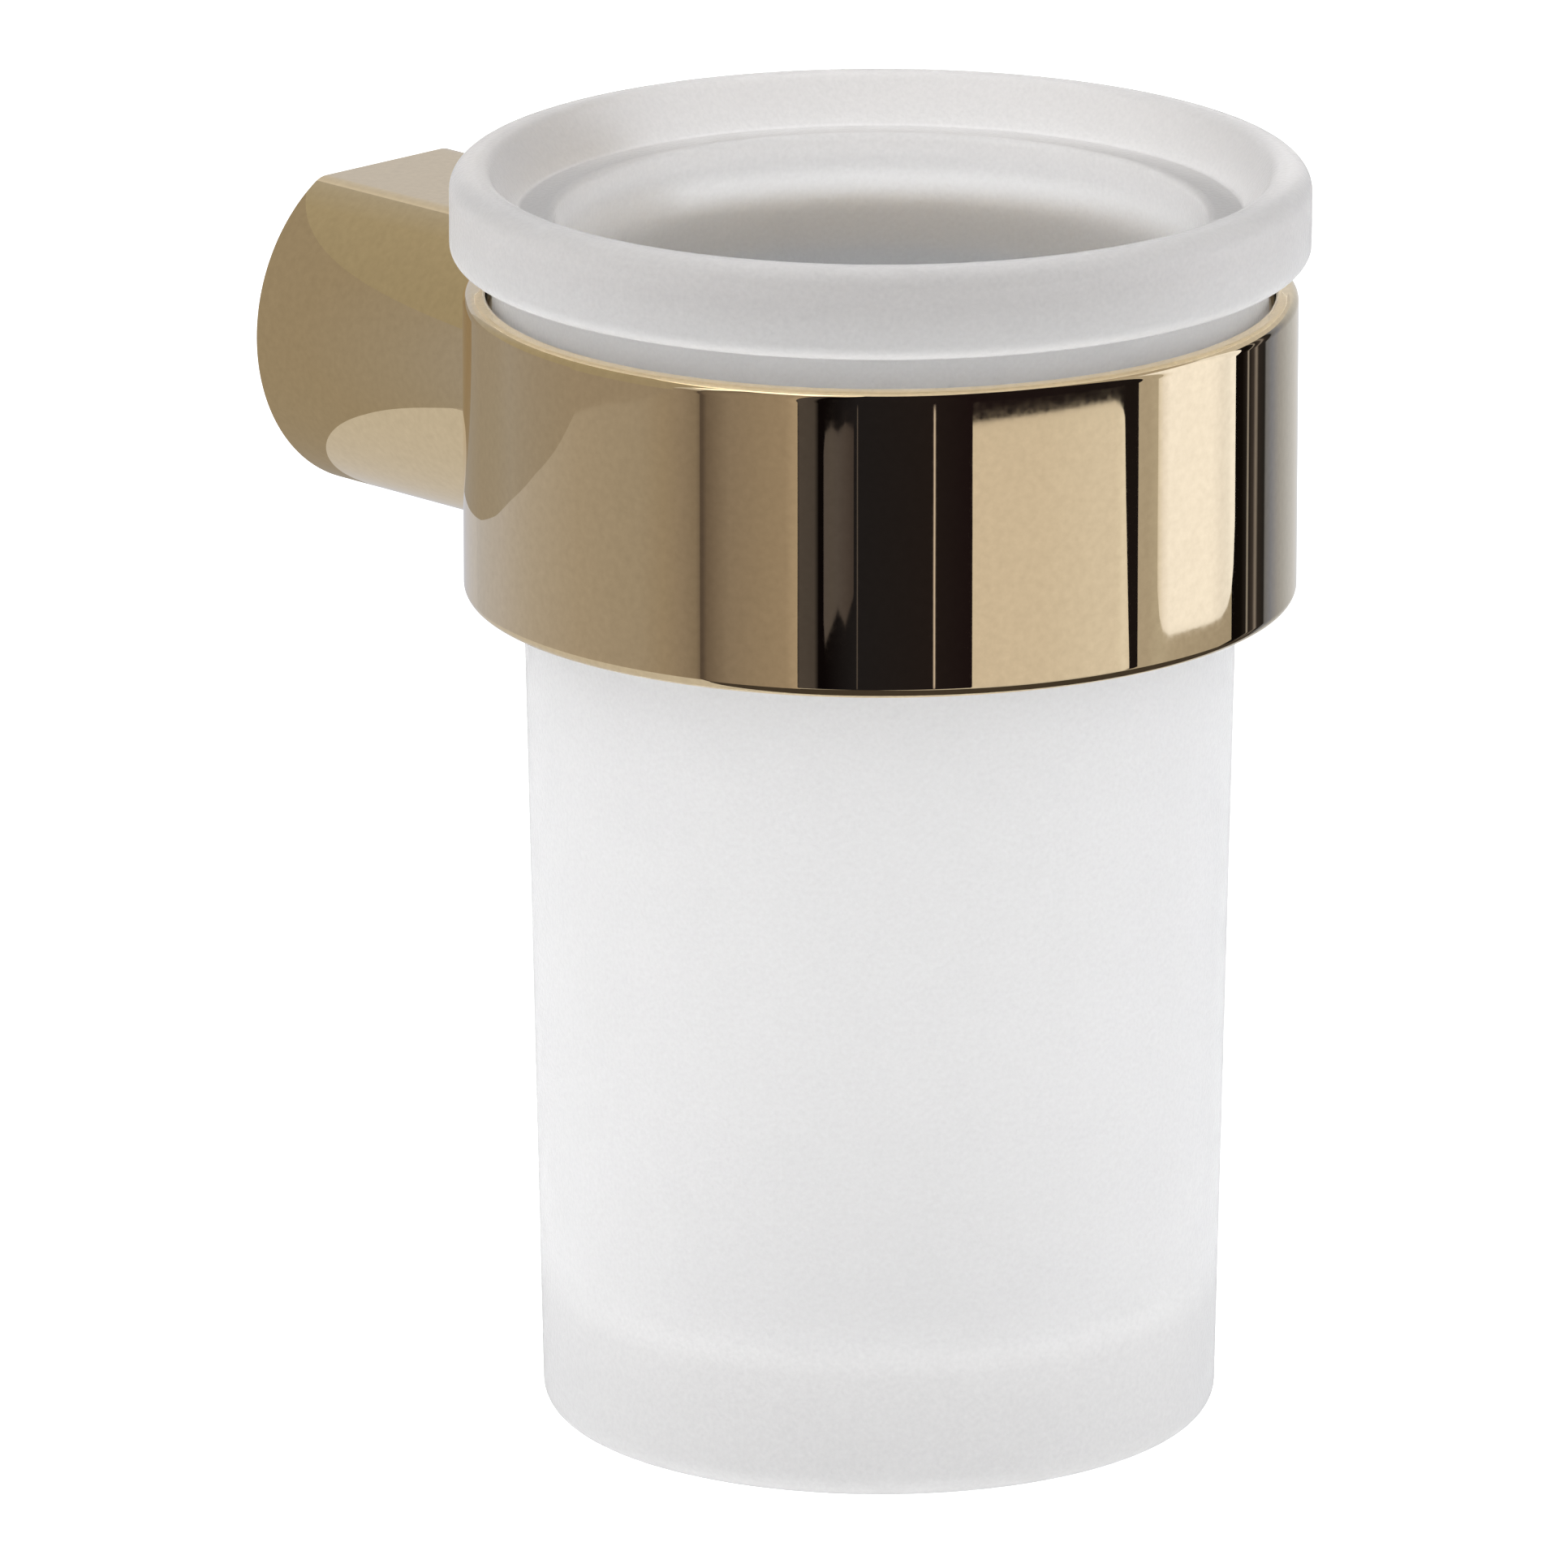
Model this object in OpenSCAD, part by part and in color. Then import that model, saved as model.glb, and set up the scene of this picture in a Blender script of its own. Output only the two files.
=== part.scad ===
// Wall-mounted toothbrush tumbler: a frosted glass tumbler standing in a polished ring,
// carried by a short round post that hides its wall fixing.
// Units are millimetres. The wall is the plane y = 0, the object stands at -Y, +Z is up,
// and the origin is the middle of the wall bracket's back face.

/* [Piece shown] */
// Name of the piece to draw, or all

/* [Overall] */
// Distance from the wall to the nearest point of the ring
post_reach = 27; // [24:1:45]
// Overall height of the tumbler
tumbler_h = 111; // [90:1:140]
// Height of the tumbler's rim top above the ring's top edge
rim_stand = 10.8; // [10:0.1:14]

/* [Ring] */
// Outside diameter of the ring
ring_d = 72; // [66:0.5:84]
// Height of the ring band
ring_h = 26.8; // [22:0.2:32]
// Wall thickness of the band
ring_wall = 2; // [1.6:0.1:2.6]
// Rounding of the band's outer edges
ring_edge = 0.9; // [0.4:0.1:1.2]
// Rounding of the band's inner edges
ring_inner_edge = 0.5; // [0.2:0.1:0.7]
// Height of the inner lip that carries the seat ring
lip_h = 2.5; // [1.6:0.1:4]
// How far the inner lip reaches in from the band's bore
lip_in = 2; // [1.2:0.1:2]

/* [Tumbler rim and collar] */
// How far the rim overhangs the ring's outside
rim_over = 1.1; // [0.4:0.1:2]
// Height of the rim's outer wall
rim_h = 7.9; // [6:0.1:9]
// Rounding of the rim's top outer edge
rim_top_edge = 1.9; // [1:0.1:2.2]
// Rounding of the rim's top inner edge
rim_in_edge = 1.1; // [0.5:0.1:1.4]
// Rounding of the rim's lower edge
rim_low_edge = 1.4; // [0.6:0.1:2]
// Thickness of the rim at its top
rim_wall = 3.2; // [3.2:0.1:4]
// Depth of the step inside the rim, down to the inner ledge
ledge_drop = 4.1; // [3.4:0.1:6]
// Thickness of the glass between the rim's outside and the ledge's outer edge
ledge_wall = 5.8; // [5:0.1:6.4]
// Gap between the collar and the bore of the ring
collar_gap = 0.55; // [0.3:0.05:0.9]
// Depth of the collar below the ring's top edge
collar_drop = 4.4; // [3:0.1:8]

/* [Tumbler body] */
// How much narrower the glass is at its base than under the collar, on the radius
body_taper = 2; // [0.5:0.1:4]
// Wall thickness just under the collar
neck_wall = 3.2; // [2.4:0.1:4]
// Wall thickness of the body at its base
body_wall = 3; // [2.4:0.1:4]
// Thickness of the heavy base
base_t = 12; // [6:0.5:16]
// Rounding of the base's outer edge
base_edge = 2.2; // [1:0.1:4]
// Rounding between the inside wall and the floor
floor_edge = 4; // [2:0.5:8]
// Depth of the hollow under the base
punt_d = 0.8; // [0.4:0.1:2]
// Width of the standing edge around that hollow
foot_w = 3; // [2:0.5:6]

/* [Seat ring] */
// Wall thickness of the seat ring
seat_wall = 2.4; // [2.1:0.1:3]
// Rounding of the seat ring's edges
seat_edge = 0.4; // [0.2:0.1:0.6]

/* [Post] */
// Diameter of the round post
post_d = 30.8; // [28:0.2:33]
// Rounding where the post's flat top meets its round sides
post_blend = 2.5; // [1:0.1:3.5]
// Least wall thickness round the bore that covers the wall bracket
post_wall = 2; // [1.6:0.1:3]
// Depth of that bore from the wall
post_bore_h = 19; // [17:0.5:21]
// Chamfer at the post's wall end
post_chamfer = 0.3; // [0.1:0.1:0.6]

/* [Wall bracket] */
// Thickness of the wall bracket
bracket_t = 9; // [8:0.5:10]
// Metal left between each wall screw's countersink and the bracket's rim
screw_margin = 1.22; // [0.8:0.01:2]
// Diameter of each wall screw hole
screw_hole_d = 4.4; // [3.6:0.1:4.6]
// Diameter of the countersink at the front of each hole
screw_sink_d = 7.2; // [6:0.1:7.4]
// Depth of the flat pocket the grub screw presses on
pocket_in = 1.6; // [1:0.1:2.4]

/* [Fixings inside the post] */
// Diameter of the threaded boss behind the ring
boss_d = 11; // [9:0.5:12]
// Thread diameter of the joining screw
join_d = 5; // [4:0.5:6]
// Head diameter of the joining screw
join_head_d = 8.5; // [8:0.1:10]
// Head height of the joining screw
join_head_h = 3.4; // [3:0.1:4]
// Key size of the joining screw's hexagon socket
join_key = 4; // [3:0.5:4]
// Outside diameter of the flat washer
washer_d = 15; // [14:0.5:17]
// Thickness of the flat washer
washer_t = 1; // [0.8:0.1:1.4]
// Thickness of the split lock washer
lock_t = 1.2; // [1:0.1:1.4]
// Thread diameter of the grub screw
grub_d = 4; // [3:0.5:5]
// Length of the grub screw
grub_len = 5; // [4:0.1:5.6]
// Key size of the grub screw's hexagon socket
grub_key = 2; // [1.5:0.5:2.5]
// Distance of the grub screw from the wall
grub_out = 4.6; // [4:0.1:5.5]

/* [Fits] */
// Gap all round between the seat ring and the ring's bore
seat_fit = 0.05; // [0.02:0.01:0.1]
// Gap between the seat ring and the glass just under the collar
glass_fit = 0.25; // [0.15:0.05:0.4]
// Gap all round between the wall bracket and the post's bore
bracket_fit = 0.08; // [0.02:0.01:0.2]
// Gap all round between the boss and its hole
boss_fit = 0.05; // [0.02:0.01:0.1]
// Gap all round between the joining screw and its washers
washer_fit = 0.15; // [0.1:0.05:0.3]
// Gap all round between the grub screw's tip and its pocket
pocket_fit = 0.2; // [0.1:0.05:0.3]

/* [Hidden] */
$fa = 4;
$fs = 0.4;
e = 0.01;

// heights
ring_top = ring_h / 2;
ring_bot = -ring_h / 2;
rim_top = ring_top + rim_stand;
rim_bot = rim_top - rim_h;
glass_bot = rim_top - tumbler_h;
collar_bot = ring_top - collar_drop;
ledge_z = rim_top - ledge_drop;
floor_z = glass_bot + base_t;
lip_top = ring_bot + lip_h;

// radii about the upright axis
ring_r = ring_d / 2;
ring_out = post_reach + ring_r;
bore_r = ring_r - ring_wall;
lip_r = bore_r - lip_in;
seat_r = bore_r - seat_fit;
rim_r = ring_r + rim_over;
collar_r = bore_r - collar_gap;
seat_in_r = seat_r - seat_wall;
top_r = seat_in_r - glass_fit;
base_r = top_r - body_taper;
ledge_r = rim_r - ledge_wall;
mouth_r = top_r - neck_wall;
floor_r = base_r - body_wall;

// slopes of the glass, as change of radius per millimetre of height
body_k = (top_r - base_r) / (collar_bot - glass_bot);
mouth_k = (mouth_r - floor_r) / (ledge_z - floor_z);
body_n = sqrt(1 + body_k * body_k);
mouth_n = sqrt(1 + mouth_k * mouth_k);

// post and its fixings, as distances out from the wall
post_r = post_d / 2;
post_bore_r = min(post_r, ring_top) - post_wall;
post_flat = post_r > ring_top;
blend_x = post_flat ? sqrt(pow(post_r - post_blend, 2) - pow(ring_top - post_blend, 2)) : 0;
blend_z = (ring_top - post_blend) * post_r / (post_r - post_blend);
post_len = ring_out - sqrt(ring_r * ring_r - post_r * post_r) + 1;
boss_r = boss_d / 2;
boss_back = post_bore_h + 1;
join_r = join_d / 2;
join_seat = post_bore_h - washer_t - lock_t;
join_tip = post_reach - 1;
bracket_r = post_bore_r - bracket_fit;
pocket_z = -(bracket_r - pocket_in);
screw_x = bracket_r - screw_margin - screw_sink_d / 2;
grub_r = grub_d / 2;

// A round corner: the waste between a square corner at (x, z) and its arc, whose centre
// lies r away towards (sx, sz).
module corner(x, z, r, sx, sz) {
    difference() {
        translate([x - (sx > 0 ? 0.2 : r), z - (sz > 0 ? 0.2 : r)]) square(r + 0.2);
        translate([x + sx * r, z + sz * r]) circle(r);
    }
}

// Turns a half profile about the ring's upright axis.
module turned() {
    translate([0, -ring_out, 0]) rotate_extrude() children();
}

// A cylinder lying along the post, from a to b out from the wall.
module lying(r, a, b) {
    translate([0, -a, 0]) rotate([90, 0, 0]) cylinder(r = r, h = b - a);
}

// A six-sided key socket lying along the post, from a to b out from the wall.
module lying_hex(key, a, b) {
    translate([0, -a, 0]) rotate([90, 0, 0]) cylinder(r = key / sqrt(3), h = b - a, $fn = 6);
}

// Polished band with a lip at its foot for the seat ring.
module holder_ring() {
    color([0.83, 0.74, 0.56])
    turned() difference() {
        union() {
            translate([bore_r, ring_bot]) square([ring_wall, ring_h]);
            translate([lip_r, ring_bot]) square([lip_in + 0.5, lip_h]);
        }
        corner(ring_r, ring_top, ring_edge, -1, -1);
        corner(ring_r, ring_bot, ring_edge, -1, 1);
        corner(bore_r, ring_top, ring_inner_edge, 1, -1);
        corner(lip_r, ring_bot, ring_inner_edge, 1, 1);
    }
}

// Threaded boss brazed to the back of the band, inside the post's front wall.
module ring_boss() {
    color([0.70, 0.62, 0.42])
    difference() {
        lying(boss_r, boss_back, post_reach + 1);
        lying(join_r, boss_back - 1, join_tip + 0.4);
        translate([0, -ring_out, ring_bot - 5]) cylinder(r = ring_r, h = ring_h + 10);
    }
}

// Cross-section of the post: round, with a flat top level with the ring's top edge
// wherever the round would stand above it.
module post_section() {
    difference() {
        circle(post_r);
        if (post_flat) translate([-post_r - 1, blend_z]) square([post_d + 2, post_r]);
    }
    if (post_flat) {
        for (s = [-1, 1]) translate([s * blend_x, ring_top - post_blend]) circle(post_blend);
        translate([-blend_x, 0]) square([blend_x * 2, ring_top]);
    }
}

// Hollow post that slips over the wall bracket and meets the band with a hollowed face.
module post_shell() {
    color([0.83, 0.74, 0.56])
    difference() {
        rotate([90, 0, 0]) linear_extrude(post_len) post_section();
        lying(post_bore_r, -1, post_bore_h);
        lying(boss_r + boss_fit, post_bore_h - 1, post_reach + 2);
        translate([0, -ring_out, -post_r - 1]) cylinder(r = ring_r, h = post_d + 2);
        translate([0, -grub_out, -post_r - 1]) cylinder(r = grub_r, h = post_r - post_bore_r + 4);
        difference() {
            lying(post_r + 1, -1, post_chamfer);
            translate([0, e, 0]) rotate([90, 0, 0])
                cylinder(r1 = post_r - post_chamfer - e, r2 = post_r, h = post_chamfer + e);
            lying(post_r - post_chamfer, -2, 1);
        }
    }
}

// Flat washer against the inside of the post's front wall.
module joining_washer() {
    color([0.75, 0.76, 0.78])
    difference() {
        lying(washer_d / 2, post_bore_h - washer_t, post_bore_h);
        lying(join_r + washer_fit, post_bore_h - washer_t - 1, post_bore_h + 1);
    }
}

// Split lock washer under the screw's head.
module lock_washer() {
    color([0.55, 0.56, 0.58])
    difference() {
        lying(join_head_d / 2, join_seat, join_seat + lock_t);
        lying(join_r + washer_fit, join_seat - 1, join_seat + lock_t + 1);
        translate([-0.5, -join_seat - lock_t - 1, 0]) cube([1, lock_t + 2, join_head_d]);
    }
}

// Socket screw that pulls the ring against the post.
module joining_screw() {
    color([0.72, 0.73, 0.75])
    difference() {
        union() {
            lying(join_head_d / 2, join_seat - join_head_h, join_seat);
            lying(join_r, join_seat - 0.5, join_tip);
        }
        lying_hex(join_key, join_seat - join_head_h - 1, join_seat - 1.2);
    }
}

// Disc screwed to the wall, hidden inside the post.
module wall_bracket() {
    color([0.66, 0.67, 0.70])
    difference() {
        lying(bracket_r, 0, bracket_t);
        for (s = [-1, 1]) translate([s * screw_x, 0, 0]) {
            lying(screw_hole_d / 2, -1, bracket_t + 1);
            translate([0, -bracket_t - e, 0]) rotate([-90, 0, 0])
                cylinder(r1 = screw_sink_d / 2 + e, r2 = screw_hole_d / 2,
                         h = (screw_sink_d - screw_hole_d) / 2 + e);
        }
        translate([0, -grub_out, -bracket_r - 1])
            cylinder(r = grub_r + pocket_fit, h = bracket_r + 1 + pocket_z);
    }
}

// Headless screw through the underside of the post, pressing on the bracket.
module grub_screw() {
    color([0.55, 0.55, 0.57])
    translate([0, -grub_out, pocket_z - grub_len])
    difference() {
        cylinder(r = grub_r, h = grub_len);
        translate([0, 0, -1]) cylinder(r = grub_key / sqrt(3), h = 1 + grub_len * 0.4, $fn = 6);
    }
}

// Clear plastic sleeve between the band and the glass; the collar stands on its top.
module seat_ring() {
    color([0.90, 0.91, 0.92, 0.7])
    turned() difference() {
        translate([seat_in_r, lip_top]) square([seat_r - seat_in_r, collar_bot - lip_top]);
        corner(seat_r, lip_top, seat_edge, -1, 1);
        corner(seat_in_r, lip_top, seat_edge, 1, 1);
        corner(seat_r, collar_bot, seat_edge, -1, -1);
    }
}

// Outside of the tumbler: heavy rim, collar and tapering body with a rounded base.
module tumbler_outside() {
    // corner centre of the base rounding and where its arc leaves the slope
    cx = base_r + body_k * base_edge - base_edge * body_n;
    tx = cx + base_edge / body_n;
    tz = glass_bot + base_edge - base_edge * body_k / body_n;
    difference() {
        union() {
            translate([0, rim_bot]) square([rim_r, rim_h]);
            translate([0, collar_bot]) square([collar_r, rim_bot - collar_bot + 1]);
        }
        corner(rim_r, rim_top, rim_top_edge, -1, -1);
        corner(rim_r, rim_bot, rim_low_edge, -1, 1);
        corner(collar_r, collar_bot, 0.6, -1, 1);
    }
    polygon([[0, glass_bot], [cx, glass_bot], [tx, tz], [top_r, collar_bot],
             [top_r, collar_bot + 0.5], [0, collar_bot + 0.5]]);
    translate([cx, glass_bot + base_edge]) circle(base_edge);
}

// Inside of the tumbler: flared mouth, ledge, tapering well and rounded floor.
module tumbler_inside() {
    in_r = rim_r - rim_wall;
    fx = floor_r + mouth_k * floor_edge - floor_edge * mouth_n;
    gx = fx + floor_edge / mouth_n;
    gz = floor_z + floor_edge - floor_edge * mouth_k / mouth_n;
    polygon([[0, ledge_z], [ledge_r, ledge_z], [in_r, rim_top - rim_in_edge],
             [in_r, rim_top + 1], [0, rim_top + 1]]);
    corner(in_r, rim_top, rim_in_edge, 1, -1);
    polygon([[0, floor_z], [fx, floor_z], [gx, gz], [mouth_r, ledge_z],
             [mouth_r, ledge_z + 0.5], [0, ledge_z + 0.5]]);
    translate([fx, floor_z + floor_edge]) circle(floor_edge);
    corner(mouth_r, ledge_z, 0.7, 1, -1);
}

// Frosted glass tumbler.
module tumbler() {
    color([0.93, 0.94, 0.95, 0.6])
    turned() difference() {
        intersection() {
            tumbler_outside();
            translate([0, glass_bot - 1]) square([rim_r + 1, tumbler_h + 2]);
        }
        intersection() {
            tumbler_inside();
            translate([0, floor_z - 1]) square([rim_r + 1, tumbler_h + 2]);
        }
        translate([0, glass_bot - 1]) square([base_r - foot_w, punt_d + 1]);
    }
}

holder_ring();
ring_boss();
post_shell();
joining_washer();
lock_washer();
joining_screw();
wall_bracket();
grub_screw();
seat_ring();
tumbler();
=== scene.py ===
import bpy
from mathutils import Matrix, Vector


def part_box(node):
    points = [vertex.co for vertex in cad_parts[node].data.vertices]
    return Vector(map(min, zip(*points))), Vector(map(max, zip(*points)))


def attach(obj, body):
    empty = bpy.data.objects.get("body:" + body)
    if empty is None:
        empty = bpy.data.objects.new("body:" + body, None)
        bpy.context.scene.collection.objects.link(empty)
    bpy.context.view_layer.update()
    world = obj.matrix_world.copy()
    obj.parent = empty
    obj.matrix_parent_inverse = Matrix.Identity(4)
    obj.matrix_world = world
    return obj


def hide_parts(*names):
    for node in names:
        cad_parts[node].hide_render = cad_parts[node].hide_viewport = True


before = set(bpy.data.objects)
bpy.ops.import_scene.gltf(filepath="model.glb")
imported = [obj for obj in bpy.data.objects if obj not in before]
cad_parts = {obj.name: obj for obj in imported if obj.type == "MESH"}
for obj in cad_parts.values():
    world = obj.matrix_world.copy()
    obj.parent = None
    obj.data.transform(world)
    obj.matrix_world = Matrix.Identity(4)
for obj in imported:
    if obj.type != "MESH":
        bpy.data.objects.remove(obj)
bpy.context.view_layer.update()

import math
import bmesh
import bpy
from mathutils import Vector

# ---------------------------------------------------------------------------------------
# Hidden fixing: wall bracket, the grub screw that locks the post to it, and the screw and
# washers that pull the ring against the post. Cast and turned alloy, zinc-plated steel and
# machined brass; these are the CAD solids themselves, with their metal's finish.
# ---------------------------------------------------------------------------------------
MM = 0.001


class Value:
    """A shader socket that can be used in a Python expression."""

    def __init__(self, nodes, socket):
        self.nodes = nodes
        self.socket = socket

    def math(self, operation, *parts):
        return self.nodes.add("ShaderNodeMath", {"operation": operation}, parts)

    def __add__(self, other):
        return self.math("ADD", self, other)

    def __radd__(self, other):
        return self.math("ADD", other, self)

    def __sub__(self, other):
        return self.math("SUBTRACT", self, other)

    def __rsub__(self, other):
        return self.math("SUBTRACT", other, self)

    def __mul__(self, other):
        return self.math("MULTIPLY", self, other)

    def __rmul__(self, other):
        return self.math("MULTIPLY", other, self)


class Nodes:
    """The node tree of a material or a world, with one method that adds any node."""

    def __init__(self, owner):
        owner.use_nodes = True
        self.tree = owner.node_tree
        self.tree.nodes.clear()

    def add(self, kind, settings=None, sockets=(), out=0):
        node = self.tree.nodes.new(kind)
        for key, setting in (settings or {}).items():
            setattr(node, key, setting)
        for key, part in sockets.items() if isinstance(sockets, dict) else enumerate(sockets):
            if isinstance(part, Value):
                self.tree.links.new(part.socket, node.inputs[key])
            else:
                node.inputs[key].default_value = part
        return Value(self, node.outputs[out]) if node.outputs else None

    def ramp(self, value, start, end, low=0.0, high=1.0):
        return self.add("ShaderNodeMapRange", sockets={
            "Value": value, "From Min": start, "From Max": end, "To Min": low, "To Max": high})


class Finish(Nodes):
    """One material of the object: a Principled surface, its constants and what varies over it."""

    def __init__(self, name, **constants):
        self.material = bpy.data.materials.new(name)
        super().__init__(self.material)
        output = self.tree.nodes.new("ShaderNodeOutputMaterial")
        self.surface = self.tree.nodes.new("ShaderNodeBsdfPrincipled")
        self.tree.links.new(self.surface.outputs[0], output.inputs["Surface"])
        for label, number in constants.items():
            self.surface.inputs[label.replace("_", " ")].default_value = number

    def grain(self, scale, detail=2.0, stretch=(1, 1, 1)):
        spot = self.add("ShaderNodeTexCoord", out="Object")
        spot = self.add("ShaderNodeMapping", sockets={"Vector": spot, "Scale": stretch})
        return self.add("ShaderNodeTexNoise", sockets={"Vector": spot, "Scale": scale, "Detail": detail},
                        out="Fac")

    def tint(self, mask, low, high, blend="MIX"):
        low, high = (colour if isinstance(colour, Value) else (*colour, 1) for colour in (low, high))
        return self.add("ShaderNodeMix", {"data_type": "RGBA", "blend_type": blend},
                        {"Factor": mask, 6: low, 7: high}, out=2)

    def bump(self, height, strength, distance):
        return self.add("ShaderNodeBump",
                        sockets={"Height": height, "Strength": strength, "Distance": distance})

    def feed(self, **sockets):
        for label, part in sockets.items():
            self.tree.links.new(part.socket, self.surface.inputs[label.replace("_", " ")])
        return self.material


def metal_finish(name, low, high, scale, rough, spread, stretch=(1, 1, 1)):
    """A bare metal: a grain that varies its colour and roughness a little and stands up as a bump."""
    finish = Finish(name, Metallic=1.0)
    grain = finish.grain(scale, 3.0, stretch)
    return finish.feed(Base_Color=finish.tint(grain, low, high), Roughness=rough + spread * grain,
                       Normal=finish.bump(grain, 0.12, 0.00004))


cast_alloy = metal_finish("cast_alloy", (0.50, 0.51, 0.53), (0.62, 0.63, 0.66), 900, 0.38, 0.2)
zinc_plate = metal_finish("zinc_plate", (0.46, 0.48, 0.52), (0.60, 0.62, 0.64), 2200, 0.24, 0.2)
turned_brass = metal_finish("turned_brass", (0.62, 0.45, 0.20), (0.78, 0.60, 0.32), 500, 0.22, 0.2, (1, 8, 1))

for node, finish in (("wall_bracket", cast_alloy), ("ring_boss", turned_brass), ("grub_screw", zinc_plate),
                     ("joining_screw", zinc_plate), ("joining_washer", zinc_plate),
                     ("lock_washer", zinc_plate)):
    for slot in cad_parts[node].material_slots:
        slot.material = finish

# ---------------------------------------------------------------------------------------
# Post: a short hollow bar of brass, turned round with a flat milled level with the ring's
# top edge, its front hollowed to sit on the ring. Polished and plated champagne gold.
# ---------------------------------------------------------------------------------------
champagne = Finish("champagne_gold", Metallic=1.0)
ripple = champagne.grain(55, 1.0)
haze = champagne.grain(1500, 4.0)
champagne.feed(Base_Color=champagne.tint(haze, (0.77, 0.615, 0.38), (0.95, 0.765, 0.48)),
               Roughness=0.004 + 0.03 * haze,
               Normal=champagne.bump(ripple + 0.004 * haze, 0.25, 0.00003))

ring_low, ring_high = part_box("holder_ring")
post_low, post_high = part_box("post_shell")
ring_axis = Vector(((ring_low[0] + ring_high[0]) / 2, (ring_low[1] + ring_high[1]) / 2, 0))
ring_radius = (ring_high[0] - ring_low[0]) / 2
post_radius = (post_high[0] - post_low[0]) / 2
post_blend = 2.5 * MM
bore_radius, bore_depth, boss_hole = 11.4 * MM, 19 * MM, 5.55 * MM
seam = 0.3 * MM


def post_outline(blend_steps=8, round_steps=160, flat_steps=12):
    """The bar's outline in X and Z, from the right end of its flat, clockwise to the left end."""
    inner = post_radius - post_blend
    height = ring_high[2] - post_blend
    centre = math.sqrt(inner * inner - height * height)
    lean = math.atan2(height, centre)
    points = []
    for n in range(blend_steps + 1):
        angle = math.pi / 2 + (lean - math.pi / 2) * n / blend_steps
        points.append((centre + post_blend * math.cos(angle), height + post_blend * math.sin(angle)))
    for n in range(1, round_steps):
        angle = lean + (-math.pi - 2 * lean) * n / round_steps
        points.append((post_radius * math.cos(angle), post_radius * math.sin(angle)))
    for n in range(blend_steps + 1):
        angle = math.pi - lean + (math.pi / 2 - math.pi + lean) * n / blend_steps
        points.append((-centre + post_blend * math.cos(angle), height + post_blend * math.sin(angle)))
    for n in range(1, flat_steps):
        points.append((-centre + 2 * centre * n / flat_steps, ring_high[2]))
    return points


def grid_mesh(name, rows, rows_closed=True):
    """A mesh from rows of points: each row is a loop, and each row joins the next."""
    work = bmesh.new()
    made = [[work.verts.new(point) for point in row] for row in rows]
    for r in range(len(rows) if rows_closed else len(rows) - 1):
        near, far = made[r], made[(r + 1) % len(rows)]
        for c in range(len(near)):
            d = (c + 1) % len(near)
            work.faces.new((near[c], near[d], far[d], far[c]))
    bmesh.ops.recalc_face_normals(work, faces=work.faces)
    mesh = bpy.data.meshes.new(name)
    work.to_mesh(mesh)
    work.free()
    return mesh


def put(name, data):
    """An object with this name and data, in the scene."""
    placed = bpy.data.objects.new(name, data)
    bpy.context.scene.collection.objects.link(placed)
    return placed


def show(name, mesh, material):
    """A visible piece: smooth, with sharp edges where faces meet at more than 30 degrees."""
    mesh.materials.clear()
    mesh.materials.append(material)
    mesh.shade_smooth()
    mesh.set_sharp_from_angle(angle=math.radians(30))
    return put(name, mesh)


def post_row(depth, inset=0, radius=None):
    """One loop of the bar's skin: its outline, set in or made a circle, at a depth from the wall."""
    row = []
    for x, z in post_outline():
        reach = math.hypot(x, z)
        share = (radius or reach - inset) / reach
        row.append((x * share, -depth(x * share), z * share))
    return row


def meets_ring(x):
    return -ring_axis.y - math.sqrt(ring_radius ** 2 - x * x)


def between(share, wall_gap=0.4 * MM, ring_gap=0.2 * MM):
    return lambda x: wall_gap + (meets_ring(x) - wall_gap - ring_gap) * share


# the outside from the wall to the ring, a fine groove at the seam, then the hollow front and the bore
post_rows = [post_row(lambda x: 0, seam), post_row(lambda x: seam)]
post_rows += [post_row(between(n / 8)) for n in range(9)]
post_rows += [post_row(lambda x: meets_ring(x) - seam),
              post_row(lambda x: meets_ring(x) - 0.24 * MM, 0.06 * MM),
              post_row(lambda x: meets_ring(x) - 0.22 * MM, seam),
              post_row(meets_ring, seam),
              post_row(meets_ring, radius=9 * MM),
              post_row(meets_ring, radius=boss_hole),
              post_row(lambda x: bore_depth, radius=boss_hole),
              post_row(lambda x: bore_depth, radius=bore_radius),
              post_row(lambda x: 0.2 * MM, radius=bore_radius),
              post_row(lambda x: 0, radius=bore_radius + 0.1 * MM)]
post = show("post_body", grid_mesh("post_body", post_rows), champagne.material)

# the hole for the grub screw, through the underside
grub_low, grub_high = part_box("grub_screw")
grub_x, grub_y = (grub_low[0] + grub_high[0]) / 2, (grub_low[1] + grub_high[1]) / 2
drill_radius, drill_low, drill_high, drill_sides = 2 * MM, -17 * MM, -10 * MM, 48
drill_angles = [n * math.tau / drill_sides for n in range(drill_sides)]
drill_circle = [(grub_x + drill_radius * math.cos(angle), grub_y + drill_radius * math.sin(angle))
                for angle in drill_angles]
drill_mesh = grid_mesh("drill", [[(x, y, z) for x, y in drill_circle] for z in (drill_low, drill_high)],
                       rows_closed=False)
capped = bmesh.new()
capped.from_mesh(drill_mesh)
bmesh.ops.holes_fill(capped, edges=[edge for edge in capped.edges if edge.is_boundary])
bmesh.ops.recalc_face_normals(capped, faces=capped.faces)
capped.to_mesh(drill_mesh)
capped.free()
drill = put("drill", drill_mesh)
cut = post.modifiers.new("grub_hole", "BOOLEAN")
cut.operation, cut.object, cut.solver = "DIFFERENCE", drill, "EXACT"
bored = bpy.data.meshes.new_from_object(post.evaluated_get(bpy.context.evaluated_depsgraph_get()))
post.modifiers.clear()
post.data = bored
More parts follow.
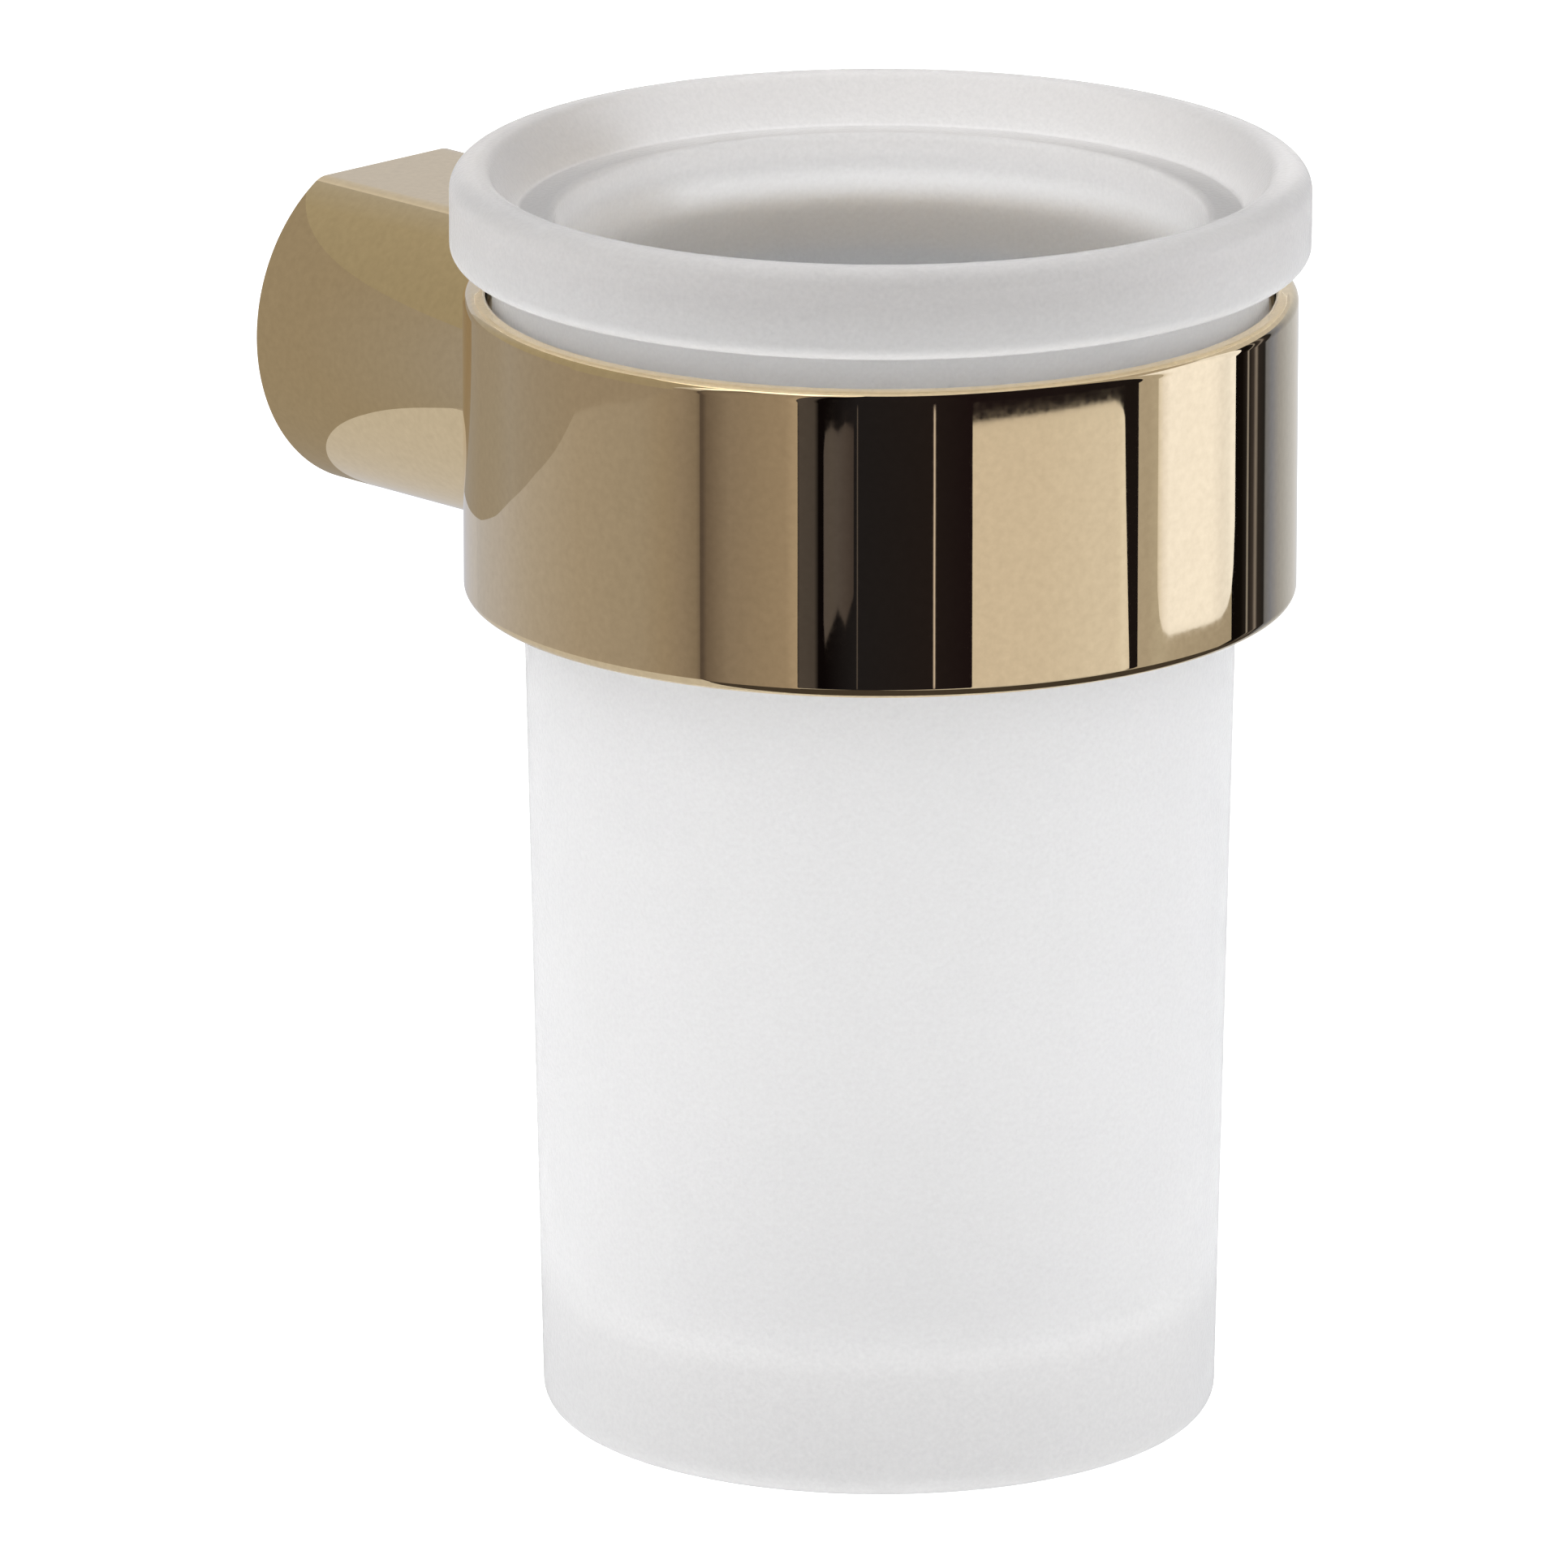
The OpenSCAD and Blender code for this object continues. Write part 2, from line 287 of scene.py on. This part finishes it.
bpy.data.objects.remove(drill)
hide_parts("post_shell")
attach(post, "holder")

# ---------------------------------------------------------------------------------------
# Ring: a band of the same plated brass, turned from tube, with an inner lip at its foot
# that carries the seat ring. The post's screw holds it from behind.
# ---------------------------------------------------------------------------------------
ring_low_z, ring_high_z = ring_low[2], ring_high[2]
bore = ring_radius - 2 * MM


def rounded(corners, closed):
    """A profile from (radius, height, rounding) corners, with close points by every rounding."""
    points = []
    count = len(corners)
    for n, (x, z, rounding) in enumerate(corners):
        here = Vector((x, z))
        if rounding <= 0 or (not closed and n in (0, count - 1)):
            points.append(here)
            continue
        to_last = (Vector(corners[n - 1][:2]) - here).normalized()
        to_next = (Vector(corners[(n + 1) % count][:2]) - here).normalized()
        half = to_last.angle(to_next) / 2
        middle = here + (to_last + to_next).normalized() * rounding / math.sin(half)
        start = here + to_last * rounding / math.tan(half)
        end = here + to_next * rounding / math.tan(half)
        first = math.atan2(*(start - middle).yx)
        sweep = (math.atan2(*(end - middle).yx) - first + math.pi) % math.tau - math.pi
        steps = max(4, round(abs(sweep) / math.radians(9)))
        for s in range(steps + 1):
            a = first + sweep * s / steps
            points.append(middle + Vector((math.cos(a), math.sin(a))) * rounding)
    filled = []
    for n, here in enumerate(points):
        filled.append(here)
        if n + 1 == len(points) and not closed:
            break
        there = points[(n + 1) % len(points)]
        length = (there - here).length
        if length > 0.5 * MM:
            stops = [0.05 * MM / length]
            parts = max(1, round(length / (5 * MM)))
            stops += [k / parts for k in range(1, parts)] + [1 - 0.05 * MM / length]
            filled += [here.lerp(there, s) for s in stops]
    return [(p.x, p.y) for p in filled]


def turning_tree():
    """Geometry Nodes: turns a flat profile round an upright axis and closes its poles."""
    tree = bpy.data.node_groups.new("turned_piece", "GeometryNodeTree")
    for label, kind in (("Profile", "Geometry"), ("Steps", "Int"), ("Core", "Float"), ("Axis", "Vector"),
                        ("Finish", "Material")):
        tree.interface.new_socket(label, in_out="INPUT", socket_type="NodeSocket" + kind)
    tree.interface.new_socket("Turned", in_out="OUTPUT", socket_type="NodeSocketGeometry")
    given, result = tree.nodes.new("NodeGroupInput"), tree.nodes.new("NodeGroupOutput")
    strand, path, sweep, merge, move, whole, paint = [tree.nodes.new("GeometryNode" + kind) for kind in (
        "MeshToCurve", "CurvePrimitiveCircle", "CurveToMesh", "MergeByDistance", "Transform",
        "RealizeInstances", "SetMaterial")]
    merge.inputs["Distance"].default_value = 1e-6
    link = tree.links.new
    link(given.outputs["Profile"], strand.inputs["Mesh"])
    link(given.outputs["Steps"], path.inputs["Resolution"])
    link(given.outputs["Core"], path.inputs["Radius"])
    link(path.outputs["Curve"], sweep.inputs["Curve"])
    link(strand.outputs["Curve"], sweep.inputs["Profile Curve"])
    link(sweep.outputs["Mesh"], merge.inputs["Geometry"])
    link(merge.outputs["Geometry"], move.inputs["Geometry"])
    link(given.outputs["Axis"], move.inputs["Translation"])
    link(move.outputs["Geometry"], whole.inputs["Geometry"])
    link(whole.outputs["Geometry"], paint.inputs["Geometry"])
    link(given.outputs["Finish"], paint.inputs["Material"])
    link(paint.outputs["Geometry"], result.inputs["Turned"])
    return tree


turned_piece = turning_tree()


def turn(name, profile, closed, material, steps=192, core=1 * MM):
    """A turned piece about the ring's axis, as a plain mesh with outward faces."""
    strand = bpy.data.meshes.new(name + "_profile")
    count = len(profile)
    edges = [(n, n + 1) for n in range(count - 1)] + ([(count - 1, 0)] if closed else [])
    strand.from_pydata([(radius - core, -z, 0) for radius, z in profile], edges, [])
    blank = put(name + "_blank", strand)
    lathe = blank.modifiers.new("lathe", "NODES")
    lathe.node_group = turned_piece
    inputs = {"Steps": steps, "Core": core, "Axis": ring_axis[:], "Finish": material}
    for item in turned_piece.interface.items_tree:
        if item.in_out == "INPUT" and item.name in inputs:
            lathe[item.identifier] = inputs[item.name]
    mesh = bpy.data.meshes.new_from_object(blank.evaluated_get(bpy.context.evaluated_depsgraph_get()))
    bpy.data.objects.remove(blank)
    work = bmesh.new()
    work.from_mesh(mesh)
    bmesh.ops.remove_doubles(work, verts=work.verts, dist=1e-7)
    bmesh.ops.recalc_face_normals(work, faces=work.faces)
    work.to_mesh(mesh)
    work.free()
    return show(name, mesh, material)


lip_top, lip_bore = ring_low_z + 2.5 * MM, bore - 2 * MM
band = turn("ring_band", rounded([
    (ring_radius, ring_low_z, 0.9 * MM), (ring_radius, ring_high_z, 0.9 * MM), (bore, ring_high_z, 0.5 * MM),
    (bore, lip_top, 0), (lip_bore, lip_top, 0), (lip_bore, ring_low_z, 0.5 * MM)], True),
    True, champagne.material, 256)
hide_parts("holder_ring")
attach(band, "holder")

# ---------------------------------------------------------------------------------------
# Seat ring: a clear, slightly milky plastic sleeve that drops into the band and stands on
# its lip. The glass's collar stands on its top edge, so glass never touches metal.
# ---------------------------------------------------------------------------------------
seat_low, seat_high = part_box("seat_ring")
seat_outer = (seat_high[0] - seat_low[0]) / 2
seat_inner = seat_outer - 2.4 * MM
milky = Finish("milky_plastic", IOR=1.49, Transmission_Weight=0.55)
cloud = milky.grain(300, 2.0)
milky.feed(Base_Color=milky.tint(cloud, (0.82, 0.83, 0.84), (0.92, 0.93, 0.94)),
           Roughness=0.28 + 0.12 * cloud)
sleeve = turn("seat_sleeve", rounded([
    (seat_outer, seat_low[2], 0.4 * MM), (seat_outer, seat_high[2], 0.4 * MM),
    (seat_inner, seat_high[2], 0), (seat_inner, seat_low[2], 0.4 * MM)], True),
    True, milky.material)
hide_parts("seat_ring")
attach(sleeve, "seat")

# ---------------------------------------------------------------------------------------
# Tumbler: pressed glass with a heavy rim, a ledge inside the mouth, a collar that stands on
# the seat ring and a thick base. Acid-etched all over, so it is matt and scatters light.
# ---------------------------------------------------------------------------------------
glass_low, glass_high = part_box("tumbler")
base_z, rim_z = glass_low[2], glass_high[2]
rim_radius = (glass_high[0] - glass_low[0]) / 2
collar_z = seat_high[2]
rim_foot = rim_z - 7.9 * MM
ledge_z, floor_z = rim_z - 4.1 * MM, base_z + 12 * MM
neck = seat_outer - 2.65 * MM
foot = neck - 2 * MM
collar = bore - 0.55 * MM
recess, recess_z = foot - 3 * MM, base_z + 0.8 * MM

etched = Finish("etched_glass", IOR=1.5, Transmission_Weight=0.7)
frost = etched.grain(2600, 3.0)
drift = etched.grain(40, 2.0)
spot = etched.add("ShaderNodeTexCoord", out="Object")
upright = etched.add("ShaderNodeSeparateXYZ", sockets=[spot], out="Z")
about_axis = etched.add("ShaderNodeVectorMath", {"operation": "MULTIPLY_ADD"},
                        [spot, (1, 1, 0), (-ring_axis.x, -ring_axis.y, 0)])
off_axis = etched.add("ShaderNodeVectorMath", {"operation": "LENGTH"}, [about_axis], out="Value")
# painted shade: these masks darken the glass's base colour over the thick rim, over the heavy base and most
# of all inside the mouth, in place of the shade that falls there
rim_shade_mask = etched.ramp(upright, rim_foot, ledge_z + 1 * MM)
base_shade_mask = etched.ramp(upright, floor_z + 3.5 * MM, floor_z - 1 * MM)
mouth_shade_mask = etched.ramp(off_axis, rim_radius - 2 * MM, rim_radius - 3.4 * MM)
speckle = etched.tint(2 * frost - 0.5, (0.89, 0.89, 0.893), (1.0, 1.0, 1.0))
# depth here carries that painted shade: the body's colour, greyer over the rim, greyer over the base and
# darker again inside the mouth
depth = etched.tint(rim_shade_mask, (0.99, 0.99, 0.99), (0.872, 0.857, 0.85))
depth = etched.tint(base_shade_mask, depth, (0.825, 0.823, 0.823))
depth = etched.tint(mouth_shade_mask * rim_shade_mask, depth, (0.70, 0.684, 0.675))
etched.feed(Base_Color=etched.tint(1.0, speckle, depth, "MULTIPLY"),
            Roughness=0.46 + 0.08 * frost + 0.04 * drift,
            Normal=etched.bump(frost, 0.6, 0.00008))
tumbler = turn("tumbler_glass", rounded([
    (0, recess_z, 0), (recess, recess_z, 0.6 * MM), (recess + 0.9 * MM, base_z, 0.4 * MM),
    (foot, base_z, 2.2 * MM), (neck, collar_z, 0),
    (collar, collar_z, 0.6 * MM), (collar, rim_foot, 0.5 * MM), (rim_radius, rim_foot, 1.4 * MM),
    (rim_radius, rim_z, 1.9 * MM), (rim_radius - 3.2 * MM, rim_z, 1.1 * MM),
    (rim_radius - 5.8 * MM, ledge_z, 0.4 * MM), (neck - 3.2 * MM, ledge_z, 0.7 * MM),
    (foot - 3 * MM, floor_z, 4 * MM), (0, floor_z, 0)], False),
    False, etched.material)
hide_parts("tumbler")
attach(tumbler, "glass")

# ---------------------------------------------------------------------------------------
# Camera: a long lens that stands on the open side of the holder and looks a little down on
# it, so that the mouth of the tumbler shows. It is part of the stage, not of the object.
# ---------------------------------------------------------------------------------------
AZIMUTH, ELEVATION, DISTANCE = math.radians(-44.5), math.radians(14.35), 1.5795
ahead = Vector((-math.sin(AZIMUTH), math.cos(AZIMUTH), 0))
aside = Vector((math.cos(AZIMUTH), math.sin(AZIMUTH), 0))
upward = Vector((0, 0, 1))
ring_top = ring_axis + ring_high_z * upward
eye = ring_top + DISTANCE * (-math.cos(ELEVATION) * ahead + math.sin(ELEVATION) * upward)
aim = ring_top - 8.25 * MM * aside - 10.6 * MM * ahead - 41.4 * MM * upward
lens = bpy.data.cameras.new("camera")
lens.lens, lens.sensor_width, lens.sensor_fit = 421.2, 36, "HORIZONTAL"
lens.clip_start, lens.clip_end = 0.05, 50
camera = put("camera", lens)
camera.location = eye
camera.rotation_euler = (aim - eye).to_track_quat("-Z", "Y").to_euler()
bpy.context.scene.camera = camera

# ---------------------------------------------------------------------------------------
# Floor: a plain white plane far below, lit from within, that the polished metal leaves out
# of its mirror image. It is part of the stage, not of the object.
# ---------------------------------------------------------------------------------------
def lit(name, colour=None, strength=1.0):
    """A material that only glows, with one colour or with the colours stored in the mesh."""
    material = bpy.data.materials.new(name)
    nodes = Nodes(material)
    if colour is None:
        shown = nodes.add("ShaderNodeAttribute", {"attribute_name": "shade"}, out="Color")
    else:
        shown = (*colour, 1)
    light = nodes.add("ShaderNodeEmission", sockets={"Color": shown, "Strength": strength})
    nodes.add("ShaderNodeOutputMaterial", sockets={"Surface": light})
    return material


half_side, floor_drop = 30, 1.2
floor_mesh = bpy.data.meshes.new("floor")
floor_mesh.from_pydata([(x * half_side, y * half_side, -floor_drop)
                        for x, y in ((-1, -1), (1, -1), (1, 1), (-1, 1))], [], [(0, 1, 2, 3)])
floor_mesh.materials.append(lit("white_floor", (1, 1, 1), 1.55))
floor = put("floor", floor_mesh)
floor.visible_glossy = False

# ---------------------------------------------------------------------------------------
# Screens: glowing sheets that only the polished metal mirrors. Curved ones stand round the
# ring's axis, some with a darker or brighter one in front, and show in the band as the
# walls, windows and dark openings of a room.
# ---------------------------------------------------------------------------------------
def mirrored(height, reach, bearing):
    """Height on a screen that the band shows at this height of its own, in metres."""
    half = math.radians(bearing) / 2
    near = ring_radius * math.cos(half)
    away = math.sqrt(reach ** 2 - (ring_radius * math.sin(half)) ** 2) - near
    return height - away * (eye.z - height) / (DISTANCE * math.cos(ELEVATION) - near)


def sheet(name, lows, highs, material, unseen_by, shades=None):
    """A sheet from a low to a high row of points, one colour a column, that some rays pass by."""
    count = len(lows)
    mesh = bpy.data.meshes.new(name)
    mesh.from_pydata(lows + highs, [], [(n, n + 1, count + n + 1, count + n) for n in range(count - 1)])
    if shades:
        stored = mesh.color_attributes.new("shade", "FLOAT_COLOR", "POINT")
        for n, colour in enumerate(shades + shades):
            stored.data[n].color = (*colour, 1)
    mesh.materials.append(material)
    card = put(name, mesh)
    for rays in unseen_by:
        setattr(card, "visible_" + rays, False)


def glow(name, columns):
    """A sheet for the polished metal alone, from columns of (low point, high point, colour)."""
    lows, highs, shades = (list(part) for part in zip(*columns))
    sheet(name, lows, highs, lit(name), ("camera", "diffuse", "transmission", "shadow"), shades)


def screen(name, reach, stations):
    """A curved screen round the ring's axis, through (bearing off the camera, low, high, colour)."""
    columns = []
    for start, end in zip(stations, stations[1:]):
        parts = max(1, round(abs(end[0] - start[0]) / 2.5))
        for n in range(parts + (end is stations[-1])):
            bearing, low, high = (p + (q - p) * n / parts for p, q in zip(start[:3], end[:3]))
            colour = tuple(p + (q - p) * n / parts for p, q in zip(start[3], end[3]))
            angle = math.radians(bearing)
            angle -= math.asin(ring_radius * math.sin(angle / 2) / reach)
            spot = ring_axis + reach * (aside * math.sin(angle) - ahead * math.cos(angle))
            columns.append(((spot.x, spot.y, mirrored(low * MM, reach, bearing)),
                            (spot.x, spot.y, mirrored(high * MM, reach, bearing)), colour))
    glow(name, columns)


black = (0.004, 0.003, 0.004)
screen("left_wall", 0.62, [
    (-184, -60, 240, (0.60, 0.61, 0.66)), (-150, -60, 240, (0.56, 0.58, 0.66)),
    (-149, -60, 60, (0.52, 0.54, 0.62)), (-130, -60, 60, (0.50, 0.51, 0.59)),
    (-112, -60, 60, (0.455, 0.445, 0.47)), (-92, -60, 60, (0.41, 0.385, 0.375)),
    (-70, -60, 60, (0.37, 0.345, 0.33)), (-62, -60, 60, (0.34, 0.305, 0.275)),
    (-56, -60, 240, (0.296, 0.263, 0.243)), (-52, -60, 240, (0.25, 0.22, 0.2)),
    (-50.6, -60, 240, (0.18, 0.155, 0.145))])
screen("left_upper", 0.61, [
    (-150, 59, 900, (0.45, 0.45, 0.46)), (-125, 59, 900, (0.41, 0.385, 0.32)),
    (-100, 59, 900, (0.38, 0.355, 0.29)), (-58, 59, 900, (0.36, 0.33, 0.28))])
screen("left_blind", 0.60, [
    (-93.6, 8.5, 60, (0.35, 0.32, 0.3)), (-86, 9.6, 60, (0.34, 0.31, 0.29)),
    (-70, 11, 60, (0.34, 0.31, 0.29)), (-57, 13, 60, (0.31, 0.28, 0.26))])
screen("left_post", 0.59, [
    (-50.7, -240, 700, (0.10, 0.083, 0.08)), (-49.8, -240, 700, (0.105, 0.088, 0.085)),
    (-48.6, -240, 700, (0.165, 0.14, 0.13)), (-42, -240, 700, (0.27, 0.237, 0.22)),
    (-33, -240, 700, (0.315, 0.275, 0.245)), (-26, -240, 700, (0.345, 0.30, 0.265)),
    (-24, -240, 700, (0.40, 0.35, 0.31)), (-22.6, -240, 700, (0.42, 0.37, 0.33))])
screen("front_dark", 0.60, [
    (-22.8, -60, 1200, (0.03, 0.027, 0.03)), (-22, -60, 1200, (0.078, 0.073, 0.084)),
    (-18, -60, 1200, (0.07, 0.065, 0.075)), (-16.8, -60, 1200, black), (-15, -60, 1200, black),
    (-6, -60, 1200, (0.015, 0.015, 0.021)), (14, -60, 1200, (0.017, 0.014, 0.017)),
    (25, -60, 1200, (0.012, 0.008, 0.011)), (76, -60, 1200, (0.012, 0.010, 0.012))])
screen("front_patch", 0.58, [
    (-15.4, -6.6, 8.4, (0.082, 0.076, 0.09)), (-15.0, -8.5, 10.0, (0.09, 0.084, 0.1)),
    (-13.4, -7.2, 10.6, (0.094, 0.088, 0.102)), (-11.5, -5.6, 10.1, (0.09, 0.084, 0.1)),
    (-9.5, -6.9, 10.9, (0.078, 0.07, 0.082)), (-7.2, -4.4, 10.4, (0.06, 0.052, 0.06))])
screen("front_line", 0.58, [
    (14.4, -12.4, 12.2, (0.05, 0.045, 0.05)), (14.8, -12.4, 12.2, (0.75, 0.70, 0.75)),
    (15.2, -12.4, 12.2, (0.05, 0.045, 0.05))])
screen("front_thread", 0.58, [
    (-6.4, -13, 12.2, (0.02, 0.02, 0.025)), (-6.2, -13, 12.2, (0.13, 0.12, 0.14)),
    (-6.0, -13, 12.2, (0.02, 0.02, 0.025))])
screen("right_window", 0.57, [
    (25.3, -60, 10.7, (0.69, 0.665, 0.67)), (27, -60, 10.8, (0.69, 0.665, 0.675)),
    (45, -60, 11.0, (0.70, 0.68, 0.695)), (62, -60, 11.3, (0.745, 0.74, 0.775)),
    (67.6, -60, 11.3, (0.75, 0.745, 0.785)), (69.2, -60, 11.0, (0.77, 0.77, 0.81)),
    (70.4, -60, 10.4, (0.83, 0.84, 0.90)), (71.0, -60, 9.6, (0.83, 0.84, 0.90)),
    (71.4, -60, 3, (0.83, 0.84, 0.90)), (72.2, -60, -6, (0.80, 0.80, 0.85)),
    (72.8, -60, -12, (0.78, 0.77, 0.82))])
screen("right_jamb", 0.60, [
    (74.6, -240, 1200, (0.30, 0.28, 0.27)), (75.4, -240, 1200, (0.46, 0.44, 0.43)),
    (79, -240, 1200, (0.45, 0.43, 0.415)), (83, -240, 1200, (0.50, 0.49, 0.48)),
    (90, -240, 1200, (0.45, 0.43, 0.415)), (114, -240, 1200, (0.40, 0.38, 0.36))])
screen("right_lamp", 0.58, [
    (82.6, -6, 13, (0.72, 0.72, 0.76)), (83.4, -8.6, 400, (0.84, 0.86, 0.95)),
    (84.6, -9.8, 400, (0.93, 0.97, 1.15)), (87, -10.4, 400, (1.05, 1.12, 1.36)),
    (104, -10.4, 400, (1.06, 1.13, 1.36)), (109, -10.2, 400, (0.94, 1.0, 1.2)),
    (112, -9.4, 400, (0.96, 1.03, 1.24)), (113.8, -8.2, 400, (1.06, 1.14, 1.38)),
    (114.8, -6, 400, (1.06, 1.14, 1.38)), (115.4, -2, 400, (1.06, 1.14, 1.38))])
screen("right_slats", 0.62, [
    (113, -240, 240, black), (119, -240, 240, (0.006, 0.005, 0.005)),
    (121.5, -240, 240, (0.02, 0.018, 0.02)), (122.2, -240, 240, (0.36, 0.36, 0.40)),
    (123, -240, 240, (0.02, 0.018, 0.02)), (125.5, -240, 240, (0.05, 0.045, 0.05)),
    (127, -240, 240, (0.26, 0.25, 0.28)), (128.4, -240, 240, (0.03, 0.027, 0.03)),
    (132.5, -240, 240, (0.02, 0.02, 0.022)), (133.6, -240, 240, (0.17, 0.19, 0.25)),
    (138, -240, 240, (0.23, 0.265, 0.38)), (144, -240, 240, (0.36, 0.39, 0.47)),
    (154, -240, 240, (0.50, 0.54, 0.62)), (166, -240, 240, (0.66, 0.68, 0.72)),
    (180, -240, 240, (0.72, 0.73, 0.76))])

# a dim strip along the wall behind the post, whose edges the bar and the band show as curves
strip_out = 3 * MM
strip = ((-96, -14.6, 15.5, (0.35, 0.32, 0.30)), (-80, -15.2, 15.5, (0.35, 0.325, 0.31)),
         (-64, -15.4, 15.5, (0.355, 0.335, 0.33)), (-46, -16.4, 15.5, (0.37, 0.36, 0.37)),
         (-36, -17.4, 15.5, (0.36, 0.34, 0.32)), (-24, -18.0, 15.5, (0.35, 0.32, 0.28)),
         (-8, -18.0, 15.5, (0.35, 0.32, 0.28)), (-4, -18.0, 13.3, (0.35, 0.32, 0.28)),
         (26, -18.0, 13.3, (0.35, 0.32, 0.28)))
glow("wall_strip", [((x * MM, strip_out, low * MM), (x * MM, strip_out, top * MM), colour)
                    for x, low, top, colour in strip])

# a dark cloth low in front, which the band's lower edge shows as a dark line
glow("low_cloth", [((x, -0.6, -0.3), (x, -0.03, -0.3), (0.06, 0.052, 0.048)) for x in (-0.6, 0.6)])

# ---------------------------------------------------------------------------------------
# Soft cards: two tall curved cards that the polished metal does not mirror and only the
# matt glass scatters. The front one dims it, and the back one brightens it from behind.
# ---------------------------------------------------------------------------------------
for name, start, end, colour in (("dim_front", -75, 75, (0.19, 0.187, 0.185)),
                                 ("soft_back", 130, 230, (1.1, 1.09, 1.08))):
    card_reach, card_low, card_high = 1.2, -0.39, 1.3
    arc = [ring_axis + card_reach * (aside * math.sin(math.radians(t)) - ahead * math.cos(math.radians(t)))
           for t in range(start, end + 1, 5)]
    sheet(name, [(p.x, p.y, card_low) for p in arc], [(p.x, p.y, card_high) for p in arc],
          lit(name, colour), ("camera", "glossy", "shadow"))

# ---------------------------------------------------------------------------------------
# Sky and lamp: a white sky, brighter at the horizon for the matt glass and plainer for the
# mirror images, and one soft round lamp above. Both are part of the stage.
# ---------------------------------------------------------------------------------------
world = bpy.data.worlds.new("studio")
bpy.context.scene.world = world
sky = Nodes(world)
height = sky.add("ShaderNodeSeparateXYZ", sockets=[sky.add("ShaderNodeTexCoord", out="Generated")], out="Z")
seen = sky.add("ShaderNodeBackground",
               sockets={"Color": (1, 1, 1, 1), "Strength": sky.ramp(height, 0.25, 0.95, 2.7, 0.8)})
in_mirror = sky.add("ShaderNodeBackground",
                    sockets={"Color": (1, 1, 1.04, 1), "Strength": sky.ramp(height, 0.6, 1.0, 0.60, 0.98)})
glossy = sky.add("ShaderNodeLightPath", out="Is Glossy Ray")
blend = sky.add("ShaderNodeMixShader", sockets=[glossy, seen, in_mirror])
sky.add("ShaderNodeOutputWorld", sockets={"Surface": blend})

key = bpy.data.lights.new("soft_key", "AREA")
key.shape, key.size, key.energy = "DISK", 0.9, 2
lamp = put("soft_key", key)
lamp.location = ring_top + 0.9 * (-0.3 * ahead - 0.5 * aside + 0.9 * upward)
lamp.rotation_euler = (ring_top - lamp.location).to_track_quat("-Z", "Y").to_euler()

bpy.context.scene.view_settings.view_transform = "Standard"
bpy.context.scene.view_settings.look = "None"
